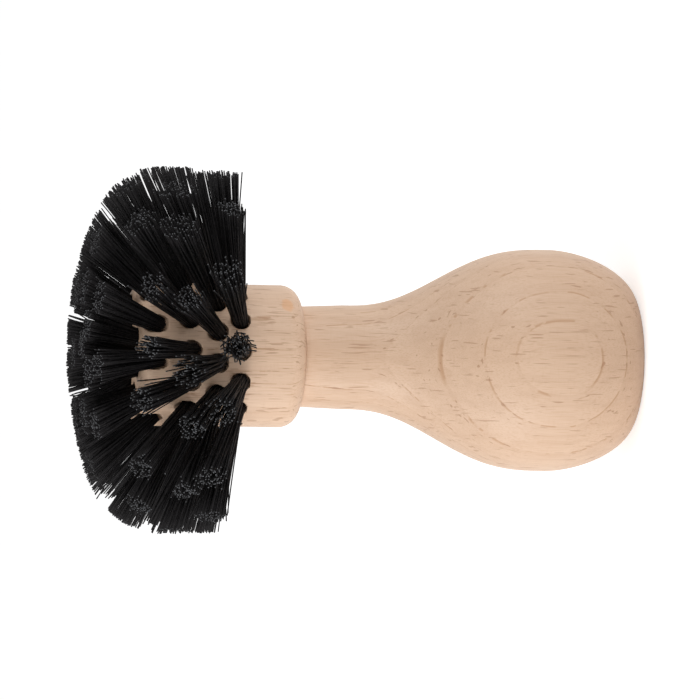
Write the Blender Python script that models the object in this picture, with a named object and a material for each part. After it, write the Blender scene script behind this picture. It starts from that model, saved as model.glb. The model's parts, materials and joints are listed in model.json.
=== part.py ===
"""Portafilter brush: a turned beech handle, glued by its tenon into a drilled beech head that is set with tufts of
black nylon. It stands on the flat end of its knob with the bristles up. Lengths are in metres and +Z is up. The
origin is the centre of the flat that it stands on, and the front of the brush faces -Y."""

import math
from typing import NamedTuple

import bmesh
import bpy
from mathutils import Matrix, Vector

MM = 0.001

# Handle: a pear-shaped knob that narrows to a plain neck, with a round tenon above its shoulder.
END_FLAT_RADIUS = 14.6 * MM
KNOB_RADIUS = 24.2 * MM
BELLY_HEIGHT = 18.3 * MM
FLARE_LENGTH = 45.7 * MM
NECK_RADIUS = 11.25 * MM
NECK_END_RADIUS = 10.85 * MM
NECK_LENGTH = 9.5 * MM
TENON_RADIUS = 6.0 * MM
TENON_LENGTH = 13.5 * MM
TENON_CHAMFER = 1.0 * MM
BASE_CURVE_POWER = 1.72
FLARE_LAG = 1.08

# Head: a round block with a rounded shoulder behind a bare collar, and a rounded front edge.
HEAD_RADIUS = 15.35 * MM
SHOULDER_RADIUS = 4.0 * MM
FRONT_EDGE_RADIUS = 3.0 * MM

# Places of the tufts: from the head's back to row 1, on from each row to the next, and the radius of the ring on the
# front. The edge row is where the front edge begins to round.
BACK_TO_ROW_1 = 14.6 * MM
ROW_1_TO_2 = 5.0 * MM
ROW_2_TO_3 = 5.9 * MM
ROW_3_TO_EDGE = 7.7 * MM
FRONT_RING_RADIUS = 5.5 * MM

# Fits: the glued joint, and the tufts in their holes.
GLUE_GAP = 0.3 * MM
ROOT_CLEARANCE = 0.3 * MM

# Tufts: each has a folded root in a blind hole, whose top is sunk below the hole's mouth, and strands that spread.
ROOT_RADIUS = 1.5 * MM
ROOT_DEPTH = 5.0 * MM
ROOT_SINK = 2.1 * MM
STRAND_PARTING = 0.12 * MM
MOUTH_OVERRUN = 3.0 * MM
TUFT_STRANDS = 8
INNER_SPLAY_SHARE = 0.45

# Trim: the strands end on a cylinder that closes in a dome, whose middle is a little off the brush's axis, towards +X.
# The reaches are from the head's side and front.
TRIM_OFFSET = 1.0 * MM
SIDE_REACH = 24.4 * MM
FRONT_REACH = 13.0 * MM
DOME_SETBACK = 7.0 * MM
DOME_POWER = 2.5
HALVINGS = 40

# Rows: tuft counts, turns of each row's first tuft from the front, leans from straight out of the side towards the
# top, and splays of the strands.
FRONT_AZIMUTH = math.radians(-90.0)
SIDE_ROW_TUFTS = 14
EDGE_ROW_TUFTS = 12
FRONT_RING_TUFTS = 4
ROW_1_TURN = math.radians(4.0)
ROW_2_TURN = math.radians(19.5)
ROW_3_TURN = math.radians(4.0)
EDGE_ROW_TURN = math.radians(-4.0)
FRONT_RING_TURN = 0.0
ROW_1_LEAN = math.radians(13.5)
ROW_2_LEAN = math.radians(23.0)
ROW_3_LEAN = math.radians(31.0)
EDGE_ROW_LEAN = math.radians(46.0)
FRONT_RING_LEAN = math.radians(64.0)
SIDE_SPLAY = math.radians(4.5)
EDGE_SPLAY = math.radians(6.0)
FRONT_SPLAY = math.radians(6.5)

# Tufts that stand askew in their row: for each number, counted from 0 both ways round, its lean, and its turn
# towards the next tuft, in degrees.
ASKEW = {
    "row_1_tuft": {
        -4: (14.0, 9.0),
        -3: (16.0, 16.8),
        -2: (19.9, 10.3),
        -1: (17.7, 7.8),
        0: (12.7, 0.7),
        1: (13.2, -6.1),
        2: (10.4, -10.0),
        3: (10.0, -11.4),
        4: (11.0, -6.0),
    },
    "row_2_tuft": {
        -4: (22.0, 7.0),
        -3: (19.9, 15.1),
        -2: (21.0, 14.7),
        -1: (23.9, 1.4),
        0: (23.1, -4.3),
        1: (24.7, -4.0),
        2: (24.8, -14.0),
        3: (22.0, -8.0),
    },
    "row_3_tuft": {
        -4: (31.0, 10.0),
        -3: (29.4, 19.9),
        -2: (31.5, 10.8),
        -1: (33.2, 9.7),
        0: (30.5, -1.9),
        1: (26.7, -10.0),
        2: (30.7, -11.1),
        3: (30.0, -8.0),
    },
    "edge_tuft": {
        -2: (52.7, -15.0),
        -1: (55.6, -8.3),
        0: (61.0, -3.6),
        1: (56.6, 3.0),
        2: (51.8, 13.2),
    },
    "front_tuft": {
        -1: (57.6, -4.4),
        0: (72.0, 7.6),
        1: (59.2, -4.4),
        2: (65.4, 10.9),
    },
}

# Fineness of the round shapes, and the distance within which their points are merged on the axis.
MERGE_DISTANCE = 0.001 * MM
ROUND_SEGMENTS = 48
ARC_STEPS = 4
BASE_STEPS = 7
FLARE_STEPS = 10

# Places that follow from the sizes above.
NECK_START = BELLY_HEIGHT + FLARE_LENGTH
SHOULDER_HEIGHT = NECK_START + NECK_LENGTH
HEAD_BACK = SHOULDER_HEIGHT + GLUE_GAP
ROW_1_HEIGHT = HEAD_BACK + BACK_TO_ROW_1
ROW_2_HEIGHT = ROW_1_HEIGHT + ROW_1_TO_2
ROW_3_HEIGHT = ROW_2_HEIGHT + ROW_2_TO_3
EDGE_ROW_HEIGHT = ROW_3_HEIGHT + ROW_3_TO_EDGE
HEAD_FRONT = EDGE_ROW_HEIGHT + FRONT_EDGE_RADIUS
TRIM_RADIUS = HEAD_RADIUS + SIDE_REACH
TRIM_DOME_START = HEAD_FRONT - DOME_SETBACK
TRIM_DOME_RISE = DOME_SETBACK + FRONT_REACH


class TuftRow(NamedTuple):
    """A ring of tufts, and the radius and height of the mouths of their holes."""

    name: str
    count: int
    first_turn: float
    lean: float
    splay: float
    mouth_radius: float
    mouth_height: float


def clear_scene():
    """Removes what the scene holds."""
    for obj in list(bpy.data.objects):
        bpy.data.objects.remove(obj)


def make_material(name, colour, roughness):
    """A plain Principled material."""
    material = bpy.data.materials.new(name)
    material.use_nodes = True
    shader = material.node_tree.nodes["Principled BSDF"]
    shader.inputs["Base Color"].default_value = (*colour, 1.0)
    shader.inputs["Roughness"].default_value = roughness
    shader.inputs["Metallic"].default_value = 0.0
    return material


def mesh_from(name, bm, material):
    """Turns bm into a mesh with its faces pointing out, shaded smooth across its shallow edges."""
    bmesh.ops.recalc_face_normals(bm, faces=bm.faces)
    mesh = bpy.data.meshes.new(name)
    bm.to_mesh(mesh)
    bm.free()
    mesh.materials.append(material)
    mesh.shade_smooth()
    mesh.set_sharp_from_angle(angle=math.radians(30.0))
    return mesh


def add_object(name, mesh):
    """Puts a mesh into the scene as an object of its own."""
    obj = bpy.data.objects.new(name, mesh)
    bpy.context.scene.collection.objects.link(obj)
    return obj


def turn(name, profile, material):
    """Spins a profile of (radius, height) points, both of whose ends are on the upright axis, into a solid."""
    bm = bmesh.new()
    verts = [bm.verts.new((radius, 0.0, height)) for radius, height in profile]
    edges = [bm.edges.new(pair) for pair in zip(verts, verts[1:])]
    bmesh.ops.spin(
        bm,
        geom=verts + edges,
        axis=(0.0, 0.0, 1.0),
        cent=(0.0, 0.0, 0.0),
        angle=math.tau,
        steps=ROUND_SEGMENTS,
        use_merge=True,
    )
    bmesh.ops.remove_doubles(bm, verts=bm.verts, dist=MERGE_DISTANCE)
    return add_object(name, mesh_from(name, bm, material))


def quarter_arc(radius, centre_radius, centre_height, start_angle):
    """Profile points of a quarter circle, anticlockwise from start_angle."""
    angles = [start_angle + math.pi / 2 * i / ARC_STEPS for i in range(ARC_STEPS + 1)]
    return [(centre_radius + radius * math.cos(a), centre_height + radius * math.sin(a)) for a in angles]


def knob_base_radius(height):
    """A rounded corner from the end flat out to the belly, as a quarter of a superellipse."""
    drop = (BELLY_HEIGHT - height) / BELLY_HEIGHT
    fullness = (1.0 - drop**BASE_CURVE_POWER) ** (1.0 / BASE_CURVE_POWER)
    return END_FLAT_RADIUS + (KNOB_RADIUS - END_FLAT_RADIUS) * fullness


def flare_radius(height):
    """An S-curve from the belly up to the neck, level at both ends."""
    t = ((height - BELLY_HEIGHT) / FLARE_LENGTH) ** FLARE_LAG
    fall = t**3 * (10.0 - 15.0 * t + 6.0 * t * t)
    return KNOB_RADIUS - (KNOB_RADIUS - NECK_RADIUS) * fall


def make_handle(beech):
    """The knob, neck and tenon, turned as one piece."""
    base_angles = [math.pi / 2 * i / BASE_STEPS for i in range(BASE_STEPS)]
    base_heights = [BELLY_HEIGHT * (1.0 - math.cos(a)) for a in base_angles]
    flare_heights = [BELLY_HEIGHT + FLARE_LENGTH * i / FLARE_STEPS for i in range(FLARE_STEPS + 1)]
    tenon_top = SHOULDER_HEIGHT + TENON_LENGTH
    profile = [(0.0, 0.0)]
    profile += [(knob_base_radius(h), h) for h in base_heights]
    profile += [(flare_radius(h), h) for h in flare_heights]
    profile += [(NECK_END_RADIUS, SHOULDER_HEIGHT), (TENON_RADIUS, SHOULDER_HEIGHT)]
    profile += [(TENON_RADIUS, tenon_top - TENON_CHAMFER), (TENON_RADIUS - TENON_CHAMFER, tenon_top)]
    profile += [(0.0, tenon_top)]
    turn("handle", profile, beech)


def make_head(beech, hole_cutter):
    """The head block: the socket, the shoulder, the collar, the front edge, and a blind hole for each tuft."""
    socket_radius = TENON_RADIUS + GLUE_GAP
    socket_end = SHOULDER_HEIGHT + TENON_LENGTH + GLUE_GAP
    shoulder_centre = HEAD_RADIUS - SHOULDER_RADIUS
    edge_centre = HEAD_RADIUS - FRONT_EDGE_RADIUS
    profile = [(0.0, socket_end), (socket_radius, socket_end), (socket_radius, HEAD_BACK)]
    profile += quarter_arc(SHOULDER_RADIUS, shoulder_centre, HEAD_BACK + SHOULDER_RADIUS, -math.pi / 2)
    profile += quarter_arc(FRONT_EDGE_RADIUS, edge_centre, EDGE_ROW_HEIGHT, 0.0)
    profile += [(0.0, HEAD_FRONT)]
    head = turn("brush_head", profile, beech)
    drilling = head.modifiers.new("tuft_holes", "BOOLEAN")
    drilling.operation = "DIFFERENCE"
    drilling.object = hole_cutter


def tuft_rows():
    """The rows round the side, and the ring on the front."""
    side = SIDE_ROW_TUFTS
    return (
        TuftRow("row_1_tuft", side, ROW_1_TURN, ROW_1_LEAN, SIDE_SPLAY, HEAD_RADIUS, ROW_1_HEIGHT),
        TuftRow("row_2_tuft", side, ROW_2_TURN, ROW_2_LEAN, SIDE_SPLAY, HEAD_RADIUS, ROW_2_HEIGHT),
        TuftRow("row_3_tuft", side, ROW_3_TURN, ROW_3_LEAN, SIDE_SPLAY, HEAD_RADIUS, ROW_3_HEIGHT),
        TuftRow("edge_tuft", EDGE_ROW_TUFTS, EDGE_ROW_TURN, EDGE_ROW_LEAN, EDGE_SPLAY, HEAD_RADIUS, EDGE_ROW_HEIGHT),
        TuftRow(
            "front_tuft",
            FRONT_RING_TUFTS,
            FRONT_RING_TURN,
            FRONT_RING_LEAN,
            FRONT_SPLAY,
            FRONT_RING_RADIUS,
            HEAD_FRONT,
        ),
    )


def tuft_placements(row):
    """For each tuft of a row, the matrix from its own frame, upright with the hole's mouth at zero, to the head."""
    seat = Matrix.Translation((row.mouth_radius, 0.0, row.mouth_height))
    directions = [(row.lean, 0.0)] * row.count
    for number, angles in ASKEW[row.name].items():
        directions[number] = [math.radians(angle) for angle in angles]
    for number, (lean, aside) in enumerate(directions):
        azimuth = FRONT_AZIMUTH + row.first_turn + math.tau * number / row.count
        tilt = Matrix.Rotation(math.pi / 2 - lean, 4, "Y") @ Matrix.Rotation(-aside, 4, "X")
        yield Matrix.Rotation(azimuth, 4, "Z") @ seat @ tilt


def beyond_trim(point):
    """Above zero outside the trimmed shape, below zero inside it."""
    radial = math.hypot(point.x - TRIM_OFFSET, point.y) / TRIM_RADIUS
    rise = max(0.0, point.z - TRIM_DOME_START) / TRIM_DOME_RISE
    return radial**DOME_POWER + rise**DOME_POWER - 1.0


def trimmed_length(start, direction):
    """How far a strand runs from start before it meets the trimmed shape, found by halving."""
    near, far = 0.0, 2.0 * (TRIM_RADIUS + TRIM_DOME_RISE)
    for _ in range(HALVINGS):
        middle = (near + far) / 2.0
        if beyond_trim(start + direction * middle) > 0.0:
            far = middle
        else:
            near = middle
    return near


def add_prism(bm, radius, low, high):
    """A closed prism on the Z axis, with a corner for each strand. Returns its top face."""
    ring = bmesh.ops.create_circle(bm, cap_ends=True, segments=TUFT_STRANDS, radius=radius)["verts"]
    bottom = ring[0].link_faces[0]
    bmesh.ops.translate(bm, verts=ring, vec=(0.0, 0.0, low))
    grown = bmesh.ops.extrude_face_region(bm, geom=[bottom], use_keep_orig=True)["geom"]
    verts = [item for item in grown if isinstance(item, bmesh.types.BMVert)]
    bmesh.ops.translate(bm, verts=verts, vec=(0.0, 0.0, high - low))
    return next(item for item in grown if isinstance(item, bmesh.types.BMFace))


def make_tuft_mesh(name, placement, outer_splay, nylon):
    """A folded root whose top is parted into wedges, each drawn out into a three-sided strand up to the trim."""
    bm = bmesh.new()
    top = add_prism(bm, ROOT_RADIUS, -ROOT_DEPTH, -ROOT_SINK)
    wedges = bmesh.ops.poke(bm, faces=[top])["faces"]
    bmesh.ops.inset_individual(bm, faces=wedges, thickness=STRAND_PARTING)
    for number, face in enumerate(wedges):
        foot = face.calc_center_median()
        outward = Vector((foot.x, foot.y, 0.0)).normalized()
        splay = outer_splay * (INNER_SPLAY_SHARE if number % 2 else 1.0)
        direction = Vector((0.0, 0.0, math.cos(splay))) + outward * math.sin(splay)
        reach = trimmed_length(placement @ foot, placement.to_3x3() @ direction)
        tip = bmesh.ops.extrude_discrete_faces(bm, faces=[face])["faces"][0]
        bmesh.ops.translate(bm, verts=tip.verts, vec=direction * reach)
    return mesh_from(name, bm, nylon)


def add_hole(bm, placement):
    """The cutter of one tuft's hole, in the brush's frame."""
    before = set(bm.verts)
    add_prism(bm, ROOT_RADIUS + ROOT_CLEARANCE, -(ROOT_DEPTH + ROOT_CLEARANCE), MOUTH_OVERRUN)
    bmesh.ops.transform(bm, matrix=placement, verts=[v for v in bm.verts if v not in before])


def make_tufts(nylon):
    """The tufts, each trimmed in its own place. Returns the mesh of all their holes."""
    holes = bmesh.new()
    for row in tuft_rows():
        for number, placement in enumerate(tuft_placements(row), start=1):
            name = f"{row.name}_{number:02d}"
            add_object(name, make_tuft_mesh(name, placement, row.splay, nylon)).matrix_world = placement
            add_hole(holes, placement)
    return holes


def main():
    clear_scene()
    beech = make_material("beech", (0.68, 0.48, 0.35), 0.5)
    nylon = make_material("black_nylon", (0.012, 0.012, 0.013), 0.4)
    make_handle(beech)
    holes = make_tufts(nylon)
    hole_cutter = add_object("tuft_hole_cutter", mesh_from("tuft_hole_cutter", holes, beech))
    hole_cutter.hide_render = True
    hole_cutter.display_type = "WIRE"
    make_head(beech, hole_cutter)


main()
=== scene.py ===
"""Looks of a portafilter brush: a turned beech handle, a drilled beech head, and tufts of black nylon.

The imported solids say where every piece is. This script gives the wood its finely turned surfaces and its
grain, and each tuft its single strands. Lengths are in metres. The brush stands upright on the flat end of
its knob, and the side that the photograph shows faces -Y.
"""

from __future__ import annotations

import json
import logging
import math
from dataclasses import dataclass, field
from enum import IntEnum
from typing import NamedTuple

import bpy
import numpy as np
from mathutils import Matrix, Vector

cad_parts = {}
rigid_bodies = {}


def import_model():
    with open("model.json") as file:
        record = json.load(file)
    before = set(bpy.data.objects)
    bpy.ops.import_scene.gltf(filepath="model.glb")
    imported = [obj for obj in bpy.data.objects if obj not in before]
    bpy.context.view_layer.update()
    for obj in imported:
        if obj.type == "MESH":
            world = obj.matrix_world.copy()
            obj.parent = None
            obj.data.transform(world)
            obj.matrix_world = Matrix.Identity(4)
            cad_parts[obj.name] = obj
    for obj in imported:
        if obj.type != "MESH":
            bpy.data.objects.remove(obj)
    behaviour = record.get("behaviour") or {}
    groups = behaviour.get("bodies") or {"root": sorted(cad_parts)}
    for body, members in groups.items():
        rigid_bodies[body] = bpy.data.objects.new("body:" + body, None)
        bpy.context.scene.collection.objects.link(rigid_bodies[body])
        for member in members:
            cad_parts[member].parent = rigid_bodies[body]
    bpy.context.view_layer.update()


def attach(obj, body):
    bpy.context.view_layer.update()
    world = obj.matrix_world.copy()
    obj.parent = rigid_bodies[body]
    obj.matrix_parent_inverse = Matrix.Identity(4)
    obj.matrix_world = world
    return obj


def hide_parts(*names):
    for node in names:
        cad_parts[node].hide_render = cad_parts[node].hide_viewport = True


LOG = logging.getLogger("portafilter_brush")
MM = 0.001
PER_MM = 1.0 / MM
BODY = "root"
QUARTER_TURN = math.pi / 2.0
GOLDEN_TURN = math.pi * (3.0 - math.sqrt(5.0))
SHARP_EDGE = math.radians(50.0)
NOISE_MIDDLE = 0.5
WHITE = (1.0, 1.0, 1.0, 1.0)
Array = np.ndarray
Value = float | tuple | bpy.types.NodeSocket
Colour = tuple[float, float, float, float]
Triple = tuple[float, float, float]
Pair = tuple[float, float]
Outline = tuple[Array, Array]
Strands = tuple[Array, Array]
Generator = np.random.Generator


def smooth_step(low: float, high: float, x: Array) -> Array:
    """Rises from 0 at low to 1 at high as 3t^2 - 2t^3.

    Args:
        low: Where the rise begins.
        high: Where the rise ends. It may be below low, for a fall.
        x: Where to read it.

    Returns:
        The value at each x.
    """
    t = np.clip((x - low) / (high - low), 0.0, 1.0)
    return t * t * (3.0 - 2.0 * t)


def unit(vectors: Array) -> Array:
    """Each vector of an array, drawn out or in to length 1."""
    return vectors / np.linalg.norm(vectors, axis=-1, keepdims=True)


def join_profile(*pieces: Outline) -> Array:
    """Strings pieces of a turned outline together.

    Args:
        pieces: For each piece, its radii and its heights.

    Returns:
        One row of (radius, height) for each point.
    """
    rows = [np.stack(np.broadcast_arrays(radii, heights), axis=1) for radii, heights in pieces]
    return np.concatenate(rows)


def straight(start: Pair, end: Pair, steps: int) -> Outline:
    """A straight piece of outline, which leaves out its end point.

    Args:
        start: The first radius and height.
        end: The radius and height that the next piece starts with.
        steps: How many points it has.

    Returns:
        The radii and the heights.
    """
    t = np.arange(steps) / steps
    return start[0] + (end[0] - start[0]) * t, start[1] + (end[1] - start[1]) * t


def quarter_arc(radius: float, centre: Pair, start: float, steps: int) -> Outline:
    """A quarter circle of outline, anticlockwise, which leaves out its end point.

    Args:
        radius: The arc's radius.
        centre: The radius and height of its centre.
        start: The angle at which it begins, from straight out.
        steps: How many points it has.

    Returns:
        The radii and the heights.
    """
    angle = start + QUARTER_TURN * np.arange(steps) / steps
    return centre[0] + radius * np.cos(angle), centre[1] + radius * np.sin(angle)


def turned_points(profile: Array, columns: int) -> Array:
    """Carries an outline round the upright axis: x = r cos u, y = r sin u, z = h.

    Args:
        profile: Rows of (radius, height).
        columns: How many points a full turn has.

    Returns:
        Points in an array of rows by columns by 3.
    """
    turn = np.arange(columns) * (math.tau / columns)
    radius = profile[:, :1]
    height = np.broadcast_to(profile[:, 1:], (len(profile), columns))
    return np.stack([radius * np.cos(turn), radius * np.sin(turn), height], axis=2)


def linked(name: str, mesh: bpy.types.Mesh) -> bpy.types.Object:
    """Puts a mesh into the scene.

    Args:
        name: The object's name.
        mesh: Its mesh.

    Returns:
        The object.
    """
    obj = bpy.data.objects.new(name, mesh)
    bpy.context.scene.collection.objects.link(obj)
    return obj


def closed_skin(name: str, rings: Array, low_pole: Array, high_pole: Array) -> bpy.types.Object:
    """Skins a stack of rings and closes each end with a fan round a pole.

    Args:
        name: The piece's name.
        rings: Points in an array of rows by columns by 3, from the low pole to the high one.
        low_pole: The point below the first ring.
        high_pole: The point above the last ring.

    Returns:
        The smooth shaded object.
    """
    rows, columns = rings.shape[:2]
    grid = np.arange(rows * columns).reshape(rows, columns)
    beside = np.roll(grid, -1, axis=1)
    quads = np.stack([grid[:-1], beside[:-1], beside[1:], grid[1:]], axis=2).reshape(-1, 4)
    low, high = rows * columns, rows * columns + 1
    floor = np.stack([np.full(columns, low), beside[0], grid[0]], axis=1)
    roof = np.stack([np.full(columns, high), grid[-1], beside[-1]], axis=1)
    points = np.concatenate([rings.reshape(-1, 3), [low_pole, high_pole]])
    mesh = bpy.data.meshes.new(name)
    mesh.from_pydata(points.tolist(), [], quads.tolist() + floor.tolist() + roof.tolist())
    mesh.shade_smooth()
    mesh.set_sharp_from_angle(angle=SHARP_EDGE)
    return linked(name, mesh)


def declare(piece: bpy.types.Object, node: str) -> None:
    """Says what a piece stands for.

    Args:
        piece: The finished piece.
        node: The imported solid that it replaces.
    """
    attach(piece, BODY)
    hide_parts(node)
    LOG.info("%s stands for %s, with %d faces", piece.name, node, len(piece.data.polygons))


class NodeBoard:
    """The shader nodes of a material or a world, added one by one and joined as they are added."""

    def __init__(self, tree: bpy.types.NodeTree) -> None:
        """Takes up a node tree.

        Args:
            tree: The tree of the material or world.
        """
        self.tree = tree

    def feed(self, node: bpy.types.Node, key: str | int, value: Value) -> None:
        """Feeds one of a node's inputs.

        Args:
            node: The node.
            key: The input's name or number.
            value: A socket to link, or a number or colour to set.
        """
        if isinstance(value, bpy.types.NodeSocket):
            self.tree.links.new(value, node.inputs[key])
        else:
            node.inputs[key].default_value = value

    def add(self, kind: str, inputs: dict[str | int, Value], **settings: object) -> bpy.types.Node:
        """Adds a node.

        Args:
            kind: The node's type name.
            inputs: What each named or numbered input is fed.
            settings: Properties of the node itself.

        Returns:
            The node.
        """
        node = self.tree.nodes.new(kind)
        for key, value in settings.items():
            setattr(node, key, value)
        for key, value in inputs.items():
            self.feed(node, key, value)
        return node

    def math(self, operation: str, *values: Value) -> bpy.types.NodeSocket:
        """The result of a Math node on these values."""
        return self.add("ShaderNodeMath", dict(enumerate(values)), operation=operation).outputs[0]

    def vector(self, operation: str, *values: Value) -> bpy.types.NodeSocket:
        """The vector result of a Vector Math node on these values."""
        return self.add("ShaderNodeVectorMath", dict(enumerate(values)), operation=operation).outputs[0]

    def piece_place(self) -> bpy.types.NodeSocket:
        """Where a point is in its piece's own coordinates, in metres."""
        return self.add("ShaderNodeTexCoord", {}).outputs["Object"]

    def stretched(self, place: Value, grain_size: Triple) -> bpy.types.NodeSocket:
        """Divides a place by a grain size along each axis, so that one grain becomes one unit."""
        return self.vector("DIVIDE", place, grain_size)

    def noise(self, place: Value, detail: float = 2.0, scale: float = 1.0) -> bpy.types.NodeSocket:
        """Soft noise from 0 to 1, with as many lumps to a unit of place as the scale says."""
        inputs = {"Vector": place, "Scale": scale, "Detail": detail}
        return self.add("ShaderNodeTexNoise", inputs).outputs["Fac"]

    def fade(self, value: Value, low: float, high: float) -> bpy.types.NodeSocket:
        """A smooth rise from 0 at low to 1 at high, or a fall where high is below low."""
        inputs = {"Value": value, "From Min": low, "From Max": high}
        return self.add("ShaderNodeMapRange", inputs, interpolation_type="SMOOTHSTEP").outputs["Result"]

    def tint(self, colour: Value, other: Value, share: Value) -> bpy.types.NodeSocket:
        """Mixes two colours.

        Args:
            colour: The colour to begin with.
            other: The colour that is mixed in.
            share: How much of it is mixed in, from 0 to 1.

        Returns:
            The mixed colour.
        """
        node = self.add("ShaderNodeMix", {"Factor": share}, data_type="RGBA")
        self.feed(node, 6, colour)
        self.feed(node, 7, other)
        return node.outputs[2]


class MaterialBoard(NodeBoard):
    """The nodes of a new material, round its Principled shader."""

    def __init__(self, name: str) -> None:
        """Starts the material.

        Args:
            name: The material's name.
        """
        self.material = bpy.data.materials.new(name)
        self.material.use_nodes = True
        super().__init__(self.material.node_tree)
        self.shader = self.tree.nodes["Principled BSDF"]

    def shade(self, key: str, value: Value) -> None:
        """Feeds one of the shader's own inputs."""
        self.feed(self.shader, key, value)

    def bump(self, height: Value, depth: float, strength: float) -> None:
        """Raises the surface by a height from 0 to 1, times a depth."""
        node = self.add("ShaderNodeBump", {"Height": height, "Distance": depth, "Strength": strength})
        self.shade("Normal", node.outputs["Normal"])


@dataclass(frozen=True)
class Patch:
    """A place in the wood: an ellipsoid with a ragged edge, in the brush's frame, in millimetres.

    The edge fades between two distances from the centre, with the patch's size as the unit.
    """

    centre: Triple
    size: Triple
    raggedness: float = 0.5
    edge: Pair = (1.35, 0.85)

    def share(self, board: NodeBoard, place: Value) -> Value:
        """1 inside the patch and 0 outside it.

        Args:
            board: The material's nodes.
            place: Where in the brush, in millimetres.

        Returns:
            The share.
        """
        offset = board.stretched(board.vector("SUBTRACT", place, self.centre), self.size)
        reach = board.add("ShaderNodeVectorMath", {0: offset}, operation="LENGTH").outputs["Value"]
        ragged = board.math("MULTIPLY_ADD", board.noise(place), self.raggedness, reach)
        return board.fade(ragged, *self.edge)


@dataclass(frozen=True)
class Stain:
    """A stain or a wide fleck in the wood."""

    patch: Patch
    colour: Colour
    strength: float


@dataclass(frozen=True)
class BeechFinish:
    """Pale unvarnished beech, worked out in space, so that the turned surface cuts through its rings.

    The growth rings lie round a straight pith beside the piece, and end in thin broken lines of dense late
    wood. Streaks are short darker dashes that follow the rings. Flecks are the cut edges of rays: thin dashes
    along the grain. The ring lines stand out whole where a patch of clear rings is. Lengths here are in
    millimetres, but for the depth of the pores. A size is that of one lump of noise, across and along the
    rings and along the grain. Limits, a rise and a fall are where a fade begins and ends, and a share is how
    much of its colour a layer mixes in.
    """

    name: str
    pith: Pair
    turn: float
    shift: Triple
    ring_start: float
    ring_width: float
    ring_sway: float
    streak_threshold: float
    fleck_threshold: float
    stains: tuple[Stain, ...] = ()
    clear_rings: tuple[Patch, ...] = ()
    pale: Colour = (0.71, 0.505, 0.36, 1.0)
    warm: Colour = (0.605, 0.405, 0.275, 1.0)
    late_wood: Colour = (0.49, 0.275, 0.15, 1.0)
    ray: Colour = (0.37, 0.19, 0.095, 1.0)
    streak_size: Triple = (0.28, 0.9, 4.6)
    fleck_size: Triple = (0.25, 1.5, 3.8)
    break_size: Triple = (3.0, 2.2, 3.6)
    gather_size: Triple = (8.0, 8.0, 26.0)
    pore_size: Triple = (0.17, 0.17, 8.0)
    ripple_size: Triple = (2.4, 2.4, 0.5)
    band_size: Triple = (1.9, 1.9, 42.0)
    patch_size: Triple = (14.0, 14.0, 40.0)
    warp_size: Triple = (16.0, 16.0, 34.0)
    warp: float = 0.5
    rings_in_sway: float = 4.0
    break_limits: Pair = (0.52, 0.60)
    line_rise: Pair = (0.90, 0.965)
    line_fall: Pair = (1.0, 0.975)
    line_remnant: float = 0.05
    late_limits: Pair = (0.35, 1.0)
    late_gain: float = 0.12
    gather_gain: float = 0.22
    mark_softness: float = 0.06
    patch_limits: Pair = (0.3, 0.7)
    band_limits: Pair = (0.38, 0.68)
    pore_limits: Pair = (0.45, 0.75)
    ripple_limits: Pair = (0.5, 0.75)
    warm_share: float = 0.1
    patch_share: float = 0.25
    year_share: float = 0.3
    band_share: float = 0.55
    pore_share: float = 0.38
    ripple_share: float = 0.07
    line_share: float = 0.75
    streak_share: float = 0.6
    fleck_share: float = 0.5
    roughness: float = 0.5
    pore_roughness: float = 0.12
    pore_depth: float = 0.05 * MM
    pore_strength: float = 0.5

    def warped(self, board: NodeBoard) -> Value:
        """Where a point of the piece is in the wood, in millimetres, a little swayed as real grain is.

        Args:
            board: The material's nodes.

        Returns:
            The place.
        """
        inputs = {
            "Vector": board.piece_place(),
            "Location": self.shift,
            "Rotation": (0.0, 0.0, self.turn),
            "Scale": (PER_MM, PER_MM, PER_MM),
        }
        place = board.add("ShaderNodeMapping", inputs).outputs["Vector"]
        inputs = {"Vector": board.stretched(place, self.warp_size), "Scale": 1.0, "Detail": 1.0}
        sway = board.add("ShaderNodeTexNoise", inputs).outputs["Color"]
        centred = board.vector("SUBTRACT", sway, (NOISE_MIDDLE, NOISE_MIDDLE, NOISE_MIDDLE))
        return board.vector("ADD", place, board.vector("MULTIPLY", centred, (self.warp, self.warp, 0.0)))

    def unwarped(self, board: NodeBoard) -> Value:
        """Where a point is in the brush's frame, in millimetres."""
        return board.vector("MULTIPLY", board.piece_place(), (PER_MM, PER_MM, PER_MM))

    def rings(self, board: NodeBoard, place: Value) -> tuple[Value, Value]:
        """Distance from the pith, and the place laid out as across, along the ring and along the grain.

        Args:
            board: The material's nodes.
            place: Where, in millimetres.

        Returns:
            The distance, and the laid out place.
        """
        axes = board.add("ShaderNodeSeparateXYZ", {"Vector": place})
        x = board.math("SUBTRACT", axes.outputs["X"], self.pith[0])
        y = board.math("SUBTRACT", axes.outputs["Y"], self.pith[1])
        squares = board.math("ADD", board.math("MULTIPLY", x, x), board.math("MULTIPLY", y, y))
        distance = board.math("SQRT", squares)
        along = board.math("MULTIPLY", board.math("ARCTAN2", x, y), abs(self.pith[1]))
        laid_out = board.add("ShaderNodeCombineXYZ", {"X": distance, "Y": along, "Z": axes.outputs["Z"]})
        return distance, laid_out.outputs["Vector"]

    def year(self, board: NodeBoard, distance: Value) -> Value:
        """How far through its year's growth the wood is, in rings of uneven width.

        Args:
            board: The material's nodes.
            distance: How far it is from the pith.

        Returns:
            A value from 0 at the start of the year to 1 at its end.
        """
        phase = board.math("DIVIDE", board.math("SUBTRACT", distance, self.ring_start), self.ring_width)
        sway = board.math("SINE", board.math("MULTIPLY", phase, math.tau / self.rings_in_sway))
        uneven = board.math("SUBTRACT", phase, board.math("MULTIPLY", sway, self.ring_sway))
        return board.math("FRACT", uneven)

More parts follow.
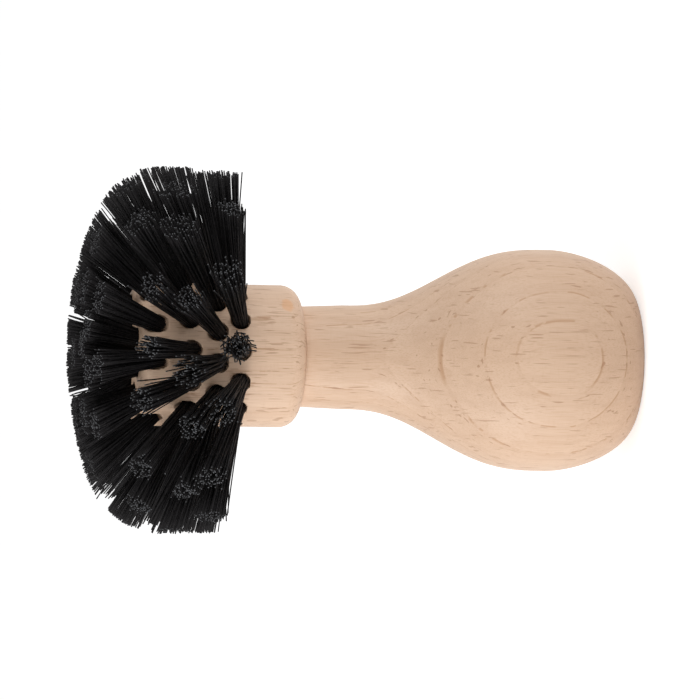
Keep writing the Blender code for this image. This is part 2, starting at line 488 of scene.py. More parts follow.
    def ring_lines(self, board: NodeBoard, laid_out: Value, year: Value) -> Value:
        """How dark the line of late wood is: broken by noise, but whole in the patches of clear rings.

        Args:
            board: The material's nodes.
            laid_out: Where, as across, along the ring and along the grain.
            year: How far through its year's growth the wood is.

        Returns:
            The darkness, from 0 to 1.
        """
        shown = board.fade(board.noise(board.stretched(laid_out, self.break_size)), *self.break_limits)
        place = self.unwarped(board)
        for patch in self.clear_rings:
            shown = board.math("MAXIMUM", shown, patch.share(board, place))
        rise = board.fade(year, *self.line_rise)
        line = board.math("MULTIPLY", rise, board.fade(year, *self.line_fall))
        shown = board.math("MULTIPLY_ADD", shown, 1.0 - self.line_remnant, self.line_remnant)
        return board.math("MULTIPLY", line, shown)

    def streaks(self, board: NodeBoard, laid_out: Value, year: Value) -> Value:
        """Where the streaks are: the peaks of noise that is drawn out along the rings, most in late wood.

        Args:
            board: The material's nodes.
            laid_out: Where, as across, along the ring and along the grain.
            year: How far through its year's growth the wood is.

        Returns:
            1 on a streak and 0 off it.
        """
        dashes = board.noise(board.stretched(laid_out, self.streak_size), detail=0.0)
        dashes = board.math("MULTIPLY_ADD", board.fade(year, *self.late_limits), self.late_gain, dashes)
        return board.fade(dashes, self.streak_threshold, self.streak_threshold + self.mark_softness)

    def flecks(self, board: NodeBoard, place: Value) -> Value:
        """Where the flecks are: the peaks of noise that is drawn out along the grain, gathered in places.

        Args:
            board: The material's nodes.
            place: Where in the wood.

        Returns:
            1 on a fleck and 0 off it.
        """
        gather = board.noise(board.stretched(place, self.gather_size), detail=1.0)
        rays = board.noise(board.stretched(place, self.fleck_size), detail=0.0)
        rays = board.math("MULTIPLY_ADD", gather, self.gather_gain, rays)
        return board.fade(rays, self.fleck_threshold, self.fleck_threshold + self.mark_softness)

    def stained(self, board: NodeBoard, colour: Value) -> Value:
        """Adds the wood's stains.

        Args:
            board: The material's nodes.
            colour: The colour without them.

        Returns:
            The colour with them.
        """
        place = self.unwarped(board)
        for stain in self.stains:
            share = board.math("MULTIPLY", stain.patch.share(board, place), stain.strength)
            colour = board.tint(colour, stain.colour, share)
        return colour

    def build(self) -> bpy.types.Material:
        """Makes the material.

        Returns:
            The material.
        """
        board = MaterialBoard(self.name)
        place = self.warped(board)
        distance, laid_out = self.rings(board, place)
        year = self.year(board, distance)
        streaks = self.streaks(board, laid_out, year)
        flecks = self.flecks(board, place)
        patches = board.fade(board.noise(board.stretched(place, self.patch_size)), *self.patch_limits)
        bands = board.noise(board.stretched(place, self.band_size), detail=3.0)
        pores = board.noise(board.stretched(place, self.pore_size))
        ripple = board.noise(board.stretched(place, self.ripple_size), detail=1.0)
        ground = board.math("MULTIPLY_ADD", patches, self.patch_share, self.warm_share)
        colour = board.tint(self.pale, self.warm, ground)
        layers = (
            (self.warm, year, self.year_share),
            (self.warm, board.fade(bands, *self.band_limits), self.band_share),
            (self.late_wood, board.fade(pores, *self.pore_limits), self.pore_share),
            (self.late_wood, board.fade(ripple, *self.ripple_limits), self.ripple_share),
            (self.late_wood, self.ring_lines(board, laid_out, year), self.line_share),
            (self.ray, streaks, self.streak_share),
            (self.ray, flecks, self.fleck_share),
        )
        for tone, cover, share in layers:
            colour = board.tint(colour, tone, board.math("MULTIPLY", cover, share))
        smoothest = self.roughness - self.pore_roughness / 2.0
        board.shade("Base Color", self.stained(board, colour))
        board.shade("Roughness", board.math("MULTIPLY_ADD", pores, self.pore_roughness, smoothest))
        marks = board.math("MAXIMUM", flecks, streaks)
        board.bump(board.math("SUBTRACT", pores, marks), self.pore_depth, self.pore_strength)
        return board.material


@dataclass(frozen=True)
class NylonFinish:
    """Stiff black nylon, mottled between two blacks, with fine draw lines.

    The mottle and the draw lines are given in lumps to a metre.
    """

    name: str
    deep: Colour
    faded: Colour
    roughness: float
    gloss: float
    mottle: float = 900.0
    mottle_limits: Pair = (0.35, 0.72)
    draw_lines: float = 5200.0
    line_roughness: float = 0.2
    line_depth: float = 0.01 * MM
    line_strength: float = 0.3

    def build(self) -> bpy.types.Material:
        """Makes the material.

        Returns:
            The material.
        """
        board = MaterialBoard(self.name)
        place = board.piece_place()
        mottle = board.fade(board.noise(place, scale=self.mottle), *self.mottle_limits)
        lines = board.noise(place, scale=self.draw_lines)
        smoothest = self.roughness - self.line_roughness / 2.0
        board.shade("Base Color", board.tint(self.deep, self.faded, mottle))
        board.shade("Roughness", board.math("MULTIPLY_ADD", lines, self.line_roughness, smoothest))
        board.shade("Specular IOR Level", self.gloss)
        board.bump(lines, self.line_depth, self.line_strength)
        return board.material


@dataclass
class Handle:
    """The knob, the neck and the tenon, turned as one piece."""

    end_flat_radius: float = 14.6 * MM
    knob_radius: float = 24.2 * MM
    belly_height: float = 18.3 * MM
    flare_length: float = 45.7 * MM
    neck_radius: float = 11.25 * MM
    neck_end_radius: float = 10.85 * MM
    neck_length: float = 9.7 * MM
    shoulder_round: float = 0.25 * MM
    tenon_radius: float = 6.0 * MM
    tenon_length: float = 13.3 * MM
    tenon_chamfer: float = 1.0 * MM
    base_power: float = 1.72
    flare_lag: float = 1.08
    end_flat_steps: int = 11
    base_steps: int = 64
    flare_steps: int = 110
    neck_steps: int = 12
    shoulder_steps: int = 4
    tenon_steps: int = 10
    tenon_end_steps: int = 3
    columns: int = 288

    @property
    def shoulder_height(self) -> float:
        """Height of the shoulder that stands against the head."""
        return self.belly_height + self.flare_length + self.neck_length

    @property
    def top(self) -> float:
        """Height of the tenon's end."""
        return self.shoulder_height + self.tenon_length

    def base_outline(self) -> Outline:
        """The rounded foot, a quarter of a superellipse from the end flat out to the belly.

        Returns:
            The radii and the heights.
        """
        angle = QUARTER_TURN * np.arange(self.base_steps) / self.base_steps
        height = self.belly_height * (1.0 - np.cos(angle))
        drop = 1.0 - height / self.belly_height
        fullness = (1.0 - drop**self.base_power) ** (1.0 / self.base_power)
        return self.end_flat_radius + (self.knob_radius - self.end_flat_radius) * fullness, height

    def flare_outline(self) -> Outline:
        """The S-curve from belly to neck.

        It falls as 10t^3 - 15t^4 + 6t^5, where t lags a little behind the height.

        Returns:
            The radii and the heights.
        """
        share = np.arange(self.flare_steps) / self.flare_steps
        t = share**self.flare_lag
        fall = t**3 * (10.0 - 15.0 * t + 6.0 * t * t)
        radius = self.knob_radius - (self.knob_radius - self.neck_radius) * fall
        return radius, self.belly_height + self.flare_length * share

    def build(self, finish: BeechFinish) -> None:
        """Makes the handle.

        Args:
            finish: The wood that it is turned from.
        """
        shoulder, top = self.shoulder_height, self.top
        innermost = (self.end_flat_radius / (self.end_flat_steps + 1), 0.0)
        neck_start = (self.neck_radius, shoulder - self.neck_length)
        neck_end = (self.neck_end_radius, shoulder - self.shoulder_round)
        lip = (self.neck_end_radius - self.shoulder_round, shoulder - self.shoulder_round)
        tenon_foot = (self.tenon_radius, shoulder)
        chamfer_start = (self.tenon_radius, top - self.tenon_chamfer)
        chamfer_end = (self.tenon_radius - self.tenon_chamfer, top)
        profile = join_profile(
            straight(innermost, (self.end_flat_radius, 0.0), self.end_flat_steps),
            self.base_outline(),
            self.flare_outline(),
            straight(neck_start, neck_end, self.neck_steps),
            quarter_arc(self.shoulder_round, lip, 0.0, self.shoulder_steps),
            straight((lip[0], shoulder), tenon_foot, self.shoulder_steps),
            straight(tenon_foot, chamfer_start, self.tenon_steps),
            straight(chamfer_start, chamfer_end, 1),
            straight(chamfer_end, (0.0, top), self.tenon_end_steps),
        )
        poles = np.array([0.0, 0.0, 0.0]), np.array([0.0, 0.0, top])
        piece = closed_skin("turned_handle", turned_points(profile, self.columns), *poles)
        piece.data.materials.append(finish.build())
        declare(piece, "handle")


class TuftStand(NamedTuple):
    """The matrix from a tuft's upright frame, with the hole's mouth at zero, to the brush, and its splay."""

    placement: Matrix
    splay: float


@dataclass(frozen=True)
class TuftRow:
    """A ring of tufts that lean alike, but for the ones that stand askew.

    Angles are in degrees. The first turn is where the ring begins, from the side that the photograph shows.
    Lean is from straight out of the side towards the front, and splay is how far a tuft's outermost strands
    lean out of it. The mouth is the radius and height at which every hole opens. A tuft that stands askew is
    listed with its number, counted from 0 both ways round, its lean, its turn towards the next tuft, and its
    splay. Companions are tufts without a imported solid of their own, which are shared out among the row's
    pieces.
    """

    name: str
    count: int
    first_turn: float
    lean: float
    splay: float
    mouth: Pair
    strands: int = 84
    askew: dict[int, Triple] = field(default_factory=dict)
    companions: tuple[TuftRow, ...] = ()

    def stands(self) -> list[TuftStand]:
        """How each tuft stands.

        Returns:
            The place and the splay of each.
        """
        seat = Matrix.Translation((self.mouth[0], 0.0, self.mouth[1]))
        directions = [(self.lean, 0.0, self.splay)] * self.count
        for number, direction in self.askew.items():
            directions[number] = direction
        stands = []
        for number, (lean, aside, splay) in enumerate(directions):
            azimuth = math.radians(self.first_turn - 90.0) + math.tau * number / self.count
            tilt = Matrix.Rotation(math.radians(90.0 - lean), 4, "Y")
            skew = Matrix.Rotation(-math.radians(aside), 4, "X")
            placement = Matrix.Rotation(azimuth, 4, "Z") @ seat @ tilt @ skew
            stands.append(TuftStand(placement, math.radians(splay)))
        return stands


# By number in the row: the lean, turn and splay, in degrees, of the tufts that stand askew.
ROW_1_ASKEW = {
    -4: (14.0, 9.0, 4.6),
    -3: (16.0, 16.8, 3.4),
    -2: (19.9, 10.3, 2.6),
    -1: (17.7, 7.8, 3.0),
    0: (12.7, 0.7, 2.2),
    1: (13.2, -6.1, 3.0),
    2: (10.4, -10.0, 2.8),
    3: (10.0, -11.4, 2.6),
    4: (11.0, -6.0, 4.2),
}
ROW_2_ASKEW = {
    -4: (22.0, 7.0, 5.0),
    -3: (19.9, 15.1, 4.0),
    -2: (21.0, 14.7, 2.4),
    -1: (23.9, 1.4, 2.6),
    0: (23.1, -4.3, 2.6),
    1: (24.7, -4.0, 2.8),
    2: (24.8, -14.0, 3.8),
    3: (22.0, -8.0, 5.6),
}
ROW_3_ASKEW = {
    -4: (31.0, 10.0, 5.0),
    -3: (29.4, 19.9, 3.8),
    -2: (31.5, 10.8, 2.2),
    -1: (33.2, 9.7, 2.6),
    0: (30.5, -1.9, 1.4),
    1: (26.7, -10.0, 3.6),
    2: (30.7, -11.1, 4.2),
    3: (30.0, -8.0, 5.6),
}
EDGE_ASKEW = {
    -3: (46.0, 3.0, 7.2),
    -2: (52.7, -15.0, 5.2),
    -1: (55.6, -8.3, 3.6),
    0: (61.0, -3.6, 3.0),
    1: (56.6, 3.0, 4.6),
    2: (51.8, 13.2, 6.2),
    3: (46.0, -3.0, 7.2),
}
FRONT_ASKEW = {
    -1: (57.6, -4.4, 5.6),
    0: (72.0, 7.6, 5.6),
    1: (59.2, -4.4, 5.6),
    2: (65.4, 10.9, 5.6),
}


@dataclass
class BrushHead:
    """The head block, with its shoulder, collar, front edge, socket and blind holes.

    It sits a gap above the handle's shoulder, and its socket clears the tenon all round and at its end. The
    row distances are from the back of the head to the holes of the three rows round its side. A hole takes
    in the skin no further from its mouth, along its axis, than its reach.
    """

    handle: Handle
    radius: float = 15.35 * MM
    length: float = 36.2 * MM
    seat_gap: float = 0.1 * MM
    socket_clearance: float = 0.3 * MM
    shoulder_radius: float = 4.0 * MM
    front_edge_radius: float = 3.0 * MM
    row_distances: Triple = (14.6 * MM, 19.6 * MM, 25.5 * MM)
    front_ring_radius: float = 5.5 * MM
    outer_ring_radius: float = 10.4 * MM
    hole_radius: float = 1.8 * MM
    hole_sink: float = 2.6 * MM
    hole_edge: float = 0.3 * MM
    hole_reach: float = 5.0 * MM
    socket_pole_share: float = 0.25
    socket_end_steps: int = 2
    socket_wall_steps: int = 6
    back_steps: int = 6
    shoulder_steps: int = 24
    collar_steps: int = 10
    drilled_steps: int = 92
    front_edge_steps: int = 18
    front_steps: int = 44
    columns: int = 384

    @property
    def back(self) -> float:
        """Height of the back, which faces the handle's shoulder."""
        return self.handle.shoulder_height + self.seat_gap

    @property
    def front(self) -> float:
        """Height of the front face."""
        return self.back + self.length

    def rows(self) -> list[TuftRow]:
        """The rows of tufts, which lean further towards the front row by row.

        Returns:
            Three rows round the side, one where the front edge begins to round, and a ring on the front. The
            last has an outer ring and a middle tuft as its companions.
        """
        first, second, third = ((self.radius, self.back + distance) for distance in self.row_distances)
        edge = (self.radius, self.front - self.front_edge_radius)
        outer = (self.outer_ring_radius, self.front)
        inner = (self.front_ring_radius, self.front)
        middle = (0.0, self.front)
        companions = (
            TuftRow("outer_tuft", 10, first_turn=20.0, lean=61.0, splay=6.4, mouth=outer),
            TuftRow("middle_tuft", 1, first_turn=0.0, lean=88.0, splay=6.0, mouth=middle),
        )
        return [
            TuftRow("row_1_tuft", 14, first_turn=4.0, lean=13.5, splay=5.0, mouth=first, askew=ROW_1_ASKEW),
            TuftRow("row_2_tuft", 14, first_turn=19.5, lean=23.0, splay=5.2, mouth=second, askew=ROW_2_ASKEW),
            TuftRow("row_3_tuft", 14, first_turn=4.0, lean=31.0, splay=5.2, mouth=third, askew=ROW_3_ASKEW),
            TuftRow("edge_tuft", 12, first_turn=-4.0, lean=46.0, splay=6.0, mouth=edge, askew=EDGE_ASKEW),
            TuftRow(
                "front_tuft",
                4,
                first_turn=0.0,
                lean=64.0,
                splay=6.0,
                mouth=inner,
                strands=90,
                askew=FRONT_ASKEW,
                companions=companions,
            ),
        ]

    def drilled(self, points: Array, placement: Matrix) -> Array:
        """Sinks the skin within a hole's radius of the hole's axis to the hole's floor, along that axis.

        Args:
            points: The skin, in an array whose last side is 3.
            placement: The hole's frame, with its mouth at zero and its axis up.

        Returns:
            The skin with the hole in it.
        """
        mouth = np.array(placement.translation)
        axis = np.array(placement.col[2][:3])
        offset = points - mouth
        height = offset @ axis
        aside = np.linalg.norm(offset - height[..., None] * axis, axis=-1)
        share = smooth_step(self.hole_radius + self.hole_edge, self.hole_radius, aside)
        share = np.where(np.abs(height) < self.hole_reach, share, 0.0)
        return points - axis * ((height + self.hole_sink) * share)[..., None]

    def build(self, finish: BeechFinish) -> None:
        """Makes the head.

        Args:
            finish: The wood that it is turned from.
        """
        socket_end = self.handle.top + self.socket_clearance
        socket_radius = self.handle.tenon_radius + self.socket_clearance
        innermost = (socket_radius * self.socket_pole_share, socket_end)
        socket_corner, socket_rim = (socket_radius, socket_end), (socket_radius, self.back)
        shoulder_centre = (self.radius - self.shoulder_radius, self.back + self.shoulder_radius)
        edge_centre = (self.radius - self.front_edge_radius, self.front - self.front_edge_radius)
        rows_start = (self.radius, self.back + self.row_distances[0] - self.hole_reach)
        profile = join_profile(
            straight(innermost, socket_corner, self.socket_end_steps),
            straight(socket_corner, socket_rim, self.socket_wall_steps),
            straight(socket_rim, (shoulder_centre[0], self.back), self.back_steps),
            quarter_arc(self.shoulder_radius, shoulder_centre, -QUARTER_TURN, self.shoulder_steps),
            straight((self.radius, shoulder_centre[1]), rows_start, self.collar_steps),
            straight(rows_start, (self.radius, edge_centre[1]), self.drilled_steps),
            quarter_arc(self.front_edge_radius, edge_centre, 0.0, self.front_edge_steps),
            straight((edge_centre[0], self.front), (0.0, self.front), self.front_steps),
        )
        points = turned_points(profile, self.columns)
        for row in self.rows():
            for ring in (row, *row.companions):
                for stand in ring.stands():
                    points = self.drilled(points, stand.placement)
        poles = np.array([0.0, 0.0, socket_end]), np.array([0.0, 0.0, self.front])
        piece = closed_skin("drilled_head", points, *poles)
        piece.data.materials.append(finish.build())
        declare(piece, "brush_head")


@dataclass(frozen=True)
class Trim:
    """The shape that the strands are cut to: a cylinder that closes in a superellipse dome.

    It stands a little off the brush's axis, and reaches out from the side of the head.
    """

    head: BrushHead
    offset: float = 1.0 * MM
    reach: float = 24.4 * MM
    dome_setback: float = 7.0 * MM
    dome_rise: float = 19.8 * MM
    power: float = 2.5
    halvings: int = 30

    @property
    def radius(self) -> float:
        """Radius of the cylinder."""
        return self.head.radius + self.reach

    @property
    def dome_start(self) -> float:
        """Height at which the dome begins."""
        return self.head.front - self.dome_setback

    def beyond(self, points: Array) -> Array:
        """How far out points are: the sum of a power of their shares of the radius and of the dome's rise.

        Args:
            points: Where, in an array whose last side is 3.

        Returns:
            Above 1 outside the shape, below 1 inside it.
        """
        radial = np.hypot(points[..., 0] - self.offset, points[..., 1]) / self.radius
        rise = np.maximum(points[..., 2] - self.dome_start, 0.0) / self.dome_rise
        return radial**self.power + rise**self.power

    def lengths(self, feet: Array, headings: Array, bows: Array) -> Array:
        """How long strands are where their bowed ends meet the shape, found by halving.

        Args:
            feet: Where each strand starts.
            headings: Where each strand heads.
            bows: How far each strand's end bows aside.

        Returns:
            The length of each strand, with its heading as the unit.
        """
        near = np.zeros(len(feet))
        far = np.full(len(feet), 2.0 * self.radius)
        for _ in range(self.halvings):
            middle = (near + far) / 2.0
            outside = self.beyond(feet + headings * middle[:, None] + bows) > 1.0
            near, far = np.where(outside, near, middle), np.where(outside, middle, far)
        return near


class StrandPart(IntEnum):
    """Which material a strand's face has."""

    SIDE = 0
    CUT_END = 1


@dataclass
class NylonTufts:
    """The tufts: strands that leave each hole close together and spread towards their cut ends.

    The roots clear the wall and the floor of their hole. The hook is the side to which a curled strand turns
    over, in radians round the tuft's own axis.
    """

    head: BrushHead
    trim: Trim
    strand_radius: float = 0.14 * MM
    wall_clearance: float = 0.2 * MM
    floor_clearance: float = 0.7 * MM
    slope_scatter: float = 0.012
    spread_change: float = 0.25
    tuft_scatter: float = 0.014
    stray_share: float = 0.04
    stray_slope: float = 0.05
    bend: float = 0.35 * MM
    stray_bend: float = 1.0 * MM
    uneven_cut: float = 0.35 * MM
    uneven_tuft: float = 0.25 * MM
    curled_tuft: str = "row_1_tuft_01"
    curl_share: float = 0.3
    curls: Pair = (math.radians(150.0), math.radians(280.0))
    slight_curl: float = math.radians(45.0)
    curl_start: float = 0.82
    hook: float = -1.4
    hook_scatter: float = 0.8
    rings: int = 5
    curled_rings: int = 26
    sides: int = 6
    seed: int = 58

    def starts(self, splay: float, count: int, draw: Generator) -> tuple[Array, Array, Array]:
        """How a tuft's strands start out, in its upright frame.

        The feet fill a disc as a sunflower's seeds do. A strand leans out in proportion to its foot's
        distance from the middle, with a little scatter, and bows a little to a random side. A few stray
        strands lean and bow further.

        Args:
            splay: How far the outermost strands lean out.
            count: How many strands there are.
            draw: Where the random numbers come from.

        Returns:
            For each strand its foot, its heading, and how far its end bows aside.
        """
        number = np.arange(count)
        distance = np.sqrt((number + 0.5) / count)
        angle = number * GOLDEN_TURN + draw.uniform(0.0, math.tau)
        spread = math.tan(splay) * (1.0 + draw.normal(0.0, self.spread_change))
        outward = np.stack([np.cos(angle), np.sin(angle)], axis=1) * distance[:, None]
        root_radius = self.head.hole_radius - self.wall_clearance
        root_height = self.floor_clearance - self.head.hole_sink
        is_stray = (draw.random(count) < self.stray_share)[:, None]
        scatter = np.where(is_stray, self.stray_slope, self.slope_scatter)
        slopes = outward * spread + draw.normal(0.0, 1.0, (count, 2)) * scatter
        slopes += draw.normal(0.0, self.tuft_scatter, 2)
        feet = np.concatenate([outward * root_radius, np.full((count, 1), root_height)], axis=1)
        headings = np.concatenate([slopes, np.ones((count, 1))], axis=1)
        sway = draw.normal(0.0, 1.0, (count, 2)) * np.where(is_stray, self.stray_bend, self.bend)
        return feet, headings, np.concatenate([sway, np.zeros((count, 1))], axis=1)

    def turned_over(self, along: Array, count: int, curled: bool, draw: Generator) -> Array:
        """How far over each strand's heading has turned, which grows evenly past the curl's start.

        Args:
            along: The places along a strand, from 0 to 1.
            count: How many strands there are.
            curled: Whether the tuft is worn into curls. If not, nothing turns.
            draw: Where the random numbers come from.

        Returns:
            Angles in an array of strands by places.
        """
        hooked = draw.random(count) < self.curl_share
        strong, slight = draw.uniform(*self.curls, count), draw.uniform(0.0, self.slight_curl, count)
        most = np.where(hooked, strong, slight) * curled
        return most[:, None] * np.maximum(along - self.curl_start, 0.0) / (1.0 - self.curl_start)

    def paths(self, stand: TuftStand, count: int, curled: bool, draw: Generator) -> Strands:
        """The middle line of each strand of a tuft.

        A strand follows its heading and bows aside as the square of the way along. It ends where it meets
        the trimmed shape, less a small uneven cut. In a curled tuft the heading of each strand turns further
        and further over, past the place where its curl starts, so that its end hooks.

        Args:
            stand: How the tuft stands.
            count: How many strands it has.
            curled: Whether it is worn into curls.
            draw: Where the random numbers come from.

        Returns:
            Points in an array of strands by rings by 3, and for each strand a direction square to it.
        """
        turn = np.array(stand.placement.to_3x3()).T
        feet, headings, bows = self.starts(stand.splay, count, draw)
        feet = feet @ turn + np.array(stand.placement.translation)
        headings, bows = headings @ turn, bows @ turn
        lengths = self.trim.lengths(feet, headings, bows)
        short = np.abs(draw.normal(0.0, self.uneven_cut, count)) + abs(draw.normal(0.0, self.uneven_tuft))
        along = np.linspace(0.0, 1.0, self.curled_rings if curled else self.rings)
        over = self.turned_over(along, count, curled, draw)
        hook = draw.normal(self.hook, self.hook_scatter, count)
        sides = np.stack([np.cos(hook), np.sin(hook), np.zeros(count)], axis=1) @ turn
        ahead = headings[:, None] * self.summed(np.cos(over)) + sides[:, None] * self.summed(np.sin(over))
        points = feet[:, None] + (lengths - short)[:, None, None] * ahead
        return points + bows[:, None] * (along**2)[:, None], unit(np.cross(headings, sides))

    @staticmethod
    def summed(rates: Array) -> Array:
        """Adds up rates along each strand, from 0 at its foot, with the whole strand as the unit."""
        steps = (rates[:, 1:] + rates[:, :-1]) / 2.0 / (rates.shape[1] - 1)
        return np.concatenate([np.zeros((len(rates), 1)), np.cumsum(steps, axis=1)], axis=1)[..., None]

    def tubes(self, paths: Array, asides: Array) -> tuple[Array, Array, Array]:
        """Carries a regular polygon along each path, square to it.

        Args:
            paths: Points in an array of strands by rings by 3.
            asides: For each strand, a direction that is square to the whole of it.

        Returns:
            The points, the side quads and the end polygons, numbered through all the strands.
        """
        across = unit(np.cross(np.gradient(paths, axis=1), asides[:, None]))[:, :, None]
        turn = (np.arange(self.sides) * (math.tau / self.sides))[:, None]
        circle = asides[:, None, None] * np.cos(turn) + across * np.sin(turn)
        points = paths[:, :, None] + self.strand_radius * circle
        grid = np.arange(points[..., 0].size).reshape(points.shape[:3])
        beside = np.roll(grid, -1, axis=2)
        quads = np.stack([grid[:, :-1], beside[:, :-1], beside[:, 1:], grid[:, 1:]], axis=3).reshape(-1, 4)
        ends = np.concatenate([grid[:, 0, ::-1], grid[:, -1]])
        return points.reshape(-1, 3), quads, ends

    def bundles(self, row: TuftRow, draw: Generator) -> dict[str, list[Strands]]:
        """The strands of a row, with its companions shared out among its nodes.

        Args:
            row: The row of tufts.
            draw: Where the random numbers come from.

        Returns:
            For each node, the paths of its own tuft and of its companions.
        """
        nodes = [f"{row.name}_{number:02d}" for number in range(1, row.count + 1)]
        bundles = {
            node: [self.paths(stand, row.strands, node == self.curled_tuft, draw)]
            for node, stand in zip(nodes, row.stands())
        }
        for ring in row.companions:
            for number, stand in enumerate(ring.stands()):
                extra = self.paths(stand, ring.strands, False, draw)
                bundles[nodes[number * row.count // ring.count]].append(extra)
        return bundles

    def build(self, strand: NylonFinish, cut: NylonFinish) -> None:
        """Makes every tuft.

        Args:
            strand: The finish of the strands' sides.
            cut: The finish of their cut ends, whose grey colour is partly painted highlight.
        """
        draw = np.random.default_rng(self.seed)
        materials = strand.build(), cut.build()
        for row in self.head.rows():
            for node, bundle in self.bundles(row, draw).items():
                points, quads, ends = self.tubes(*(np.concatenate(part) for part in zip(*bundle)))
                mesh = bpy.data.meshes.new(f"nylon_{node}")
                mesh.from_pydata(points.tolist(), [], quads.tolist() + ends.tolist())
                for material in materials:
                    mesh.materials.append(material)
                is_end = np.arange(len(quads) + len(ends)) >= len(quads)
                part = np.where(is_end, StrandPart.CUT_END, StrandPart.SIDE).astype(np.int32)
                mesh.polygons.foreach_set("material_index", part)
                mesh.polygons.foreach_set("use_smooth", ~is_end)
                declare(linked(f"nylon_{node}", mesh), node)


@dataclass(frozen=True)
class Lamp:
    """A soft square lamp."""

    name: str
    place: Triple
    side: float
    power: float

    def build(self, target: Vector) -> None:
        """Hangs the lamp, turned to a target.

        Args:
            target: What it lights.
        """
        light = bpy.data.lights.new(self.name, "AREA")
        light.shape = "SQUARE"
        light.size = self.side
        light.energy = self.power
        lamp = bpy.data.objects.new(self.name, light)
        lamp.location = self.place
        lamp.rotation_euler = (target - lamp.location).to_track_quat("-Z", "Y").to_euler()
        bpy.context.scene.collection.objects.link(lamp)


@dataclass
class Studio:
    """A white floor, a white surround, soft lamps, and the camera at the photograph's angle.

    The camera looks a little down at the side of the brush, and lies on its own side, so that the bristles
    are at the left of the picture and the knob is at its right.
    """

    target_height: float = 62.0 * MM
    target_offset: float = 1.6 * MM
    down: float = math.radians(11.0)
    roll: float = math.radians(0.92)
    distance: float = 0.9
    view_width: float = 151.8 * MM
    sensor: float = 36.0
    camera_reach: float = 100.0
    floor_radius: float = 1.6
    floor_corners: int = 96
    floor_white: float = 0.82
    floor_glow: float = 0.54
    surround: float = 0.52
    lamps: tuple[Lamp, ...] = (
        Lamp("low_side_lamp", place=(-0.80, -0.35, 0.15), side=0.6, power=6.6),
        Lamp("high_side_lamp", place=(0.80, -0.35, 0.15), side=0.6, power=3.8),
        Lamp("top_lamp", place=(0.0, -0.1, 1.0), side=0.7, power=2.0),
    )

    def seen(self, board: NodeBoard) -> bpy.types.NodeSocket:
        """Tells what the camera sees from what only lights.

        Args:
            board: The nodes of the floor or the world.

        Returns:
            1 where the camera sees it straight, in a reflection or through something clear, otherwise 0.
        """
        path = board.add("ShaderNodeLightPath", {}).outputs
        mirrored = board.math("MAXIMUM", path["Is Camera Ray"], path["Is Glossy Ray"])
        return board.math("MAXIMUM", mirrored, path["Is Transmission Ray"])

    def build_floor(self) -> None:
        """A plain disc that looks white and still takes the shadow of the brush."""
        turn = np.linspace(0.0, math.tau, self.floor_corners, endpoint=False)
        rim = np.stack([np.cos(turn), np.sin(turn), np.zeros_like(turn)], axis=1) * self.floor_radius
        mesh = bpy.data.meshes.new("floor")
        mesh.from_pydata(rim.tolist(), [], [list(range(len(rim)))])
        board = MaterialBoard("floor_white")
        board.shade("Base Color", (self.floor_white, self.floor_white, self.floor_white, 1.0))
        board.shade("Roughness", 1.0)
        board.shade("Specular IOR Level", 0.0)
        board.shade("Emission Color", WHITE)
        board.shade("Emission Strength", board.math("MULTIPLY", self.seen(board), self.floor_glow))
        mesh.materials.append(board.material)
        linked("floor", mesh)

    def build_surround(self) -> None:
        """A world that lights softly from all round, and looks white."""
        world = bpy.data.worlds.new("white_surround")
        world.use_nodes = True
        bpy.context.scene.world = world
        board = NodeBoard(world.node_tree)
        strength = board.add("ShaderNodeMapRange", {"Value": self.seen(board), "To Min": self.surround})
        background = board.tree.nodes["Background"]
        board.feed(background, "Color", WHITE)
        board.feed(background, "Strength", strength.outputs["Result"])

    def build_camera(self) -> None:
        """The camera, whose axes are worked out from where the brush points in the picture."""
        brush_left = Vector((0.0, math.sin(self.down), math.cos(self.down)))
        across = Vector((1.0, 0.0, 0.0))
        back = Vector((0.0, -math.cos(self.down), math.sin(self.down)))
        right = across * math.sin(self.roll) - brush_left * math.cos(self.roll)
        up = across * math.cos(self.roll) + brush_left * math.sin(self.roll)
        target = Vector((0.0, 0.0, self.target_height)) + up * self.target_offset
        camera = bpy.data.cameras.new("camera")
        camera.sensor_width = self.sensor
        camera.lens = self.sensor * self.distance / self.view_width
        camera.clip_end = self.camera_reach
        holder = bpy.data.objects.new("camera", camera)
        axes = Matrix((right, up, back)).transposed().to_4x4()
        holder.matrix_world = Matrix.Translation(target + back * self.distance) @ axes
        bpy.context.scene.collection.objects.link(holder)
        bpy.context.scene.camera = holder

    def build(self) -> None:
        """Sets the stage."""
        self.build_floor()
        self.build_surround()
        for lamp in self.lamps:
            lamp.build(Vector((0.0, 0.0, self.target_height)))
        self.build_camera()
        bpy.context.scene.view_settings.view_transform = "Standard"


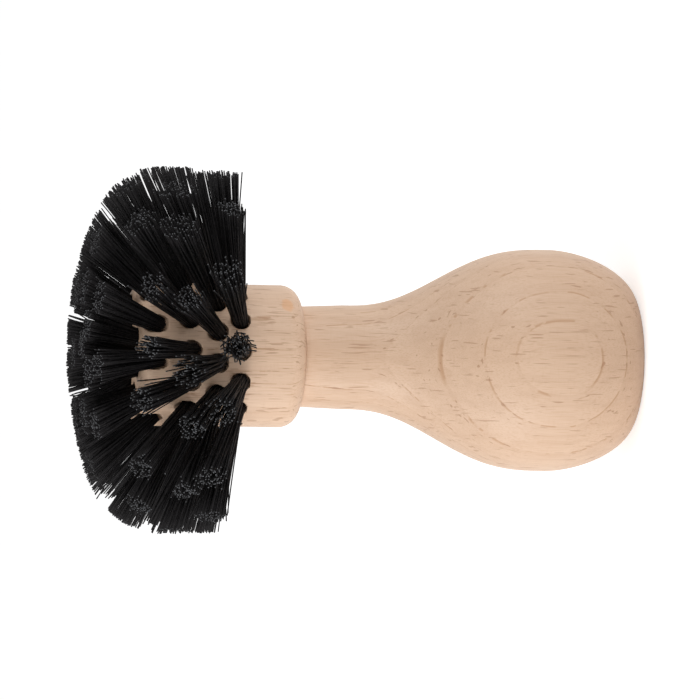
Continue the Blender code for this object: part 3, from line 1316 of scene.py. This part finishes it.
def handle_beech() -> BeechFinish:
    """The wood of the handle, whose pith lies behind it, so that its rings show as ovals on the knob.

    Returns:
        The finish.
    """
    return BeechFinish(
        "beech_handle",
        pith=(-3.0, 62.0),
        turn=math.radians(2.0),
        shift=(0.0, 0.0, 0.0),
        ring_start=78.3,
        ring_width=3.5,
        ring_sway=0.33,
        streak_threshold=0.82,
        fleck_threshold=0.767,
        gather_gain=0.10,
        fleck_size=(0.36, 2.0, 5.4),
        clear_rings=(
            Patch(centre=(-0.5, -15.5, 46.2), size=(8.0, 3.0, 3.0)),
            Patch(centre=(2.8, -20.3, 37.2), size=(2.6, 3.0, 2.5)),
            Patch(centre=(-6.2, -19.8, 36.5), size=(2.6, 3.0, 3.0)),
            Patch(centre=(-2.5, -22.8, 11.3), size=(5.5, 3.0, 3.5)),
            Patch(centre=(4.2, -22.5, 31.0), size=(2.0, 3.0, 2.0)),
            Patch(centre=(5.0, -18.0, 4.0), size=(3.0, 4.0, 3.0)),
            Patch(centre=(15.9, -17.5, 27.0), size=(3.0, 4.0, 8.0)),
        ),
    )


def head_beech() -> BeechFinish:
    """The wood of the head, a little paler, with an orange spot and a wide fleck.

    Returns:
        The finish.
    """
    spot = Patch(centre=(11.0, -10.7, 77.8), size=(2.0, 2.6, 1.5))
    wide_fleck = Patch(centre=(7.9, -13.2, 84.2), size=(0.55, 1.6, 2.6))
    return BeechFinish(
        "beech_head",
        pith=(6.0, 55.0),
        turn=math.radians(-24.0),
        shift=(31.0, 17.0, 45.0),
        ring_start=68.0,
        ring_width=2.9,
        ring_sway=0.2,
        streak_threshold=0.81,
        fleck_threshold=0.785,
        stains=(
            Stain(spot, colour=(0.72, 0.36, 0.16, 1.0), strength=0.55),
            Stain(wide_fleck, colour=(0.47, 0.27, 0.15, 1.0), strength=0.6),
        ),
        pale=(0.755, 0.54, 0.388, 1.0),
        warm=(0.65, 0.438, 0.30, 1.0),
    )


def strand_nylon() -> NylonFinish:
    """The finish of the strands' sides.

    Returns:
        The finish.
    """
    return NylonFinish(
        "black_nylon",
        deep=(0.0155, 0.0144, 0.0150, 1.0),
        faded=(0.0230, 0.0214, 0.0222, 1.0),
        roughness=0.5,
        gloss=0.05,
    )


def cut_nylon_painted_highlight() -> NylonFinish:
    """The finish of the strands' cut ends: rougher and duller than their sides. Their grey base colour is
    partly painted highlight, standing in for the light that the rough cut faces catch.

    Returns:
        The finish.
    """
    return NylonFinish(
        "cut_nylon_painted_highlight",
        # Grey cut ends: partly painted highlight for the light caught on the rough cut faces, on top of the
        # nylon's own black.
        deep=(0.038, 0.039, 0.041, 1.0),
        faded=(0.112, 0.115, 0.123, 1.0),
        roughness=0.6,
        gloss=0.2,
    )


def main() -> None:
    """Loads the frame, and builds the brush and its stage."""
    logging.basicConfig(level=logging.INFO, format="%(name)s: %(message)s")
    for obj in list(bpy.data.objects):
        bpy.data.objects.remove(obj)
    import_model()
    handle = Handle()
    head = BrushHead(handle)
    handle.build(handle_beech())
    head.build(head_beech())
    NylonTufts(head, Trim(head)).build(strand_nylon(), cut_nylon_painted_highlight())
    Studio().build()


if __name__ == "__main__":
    main()
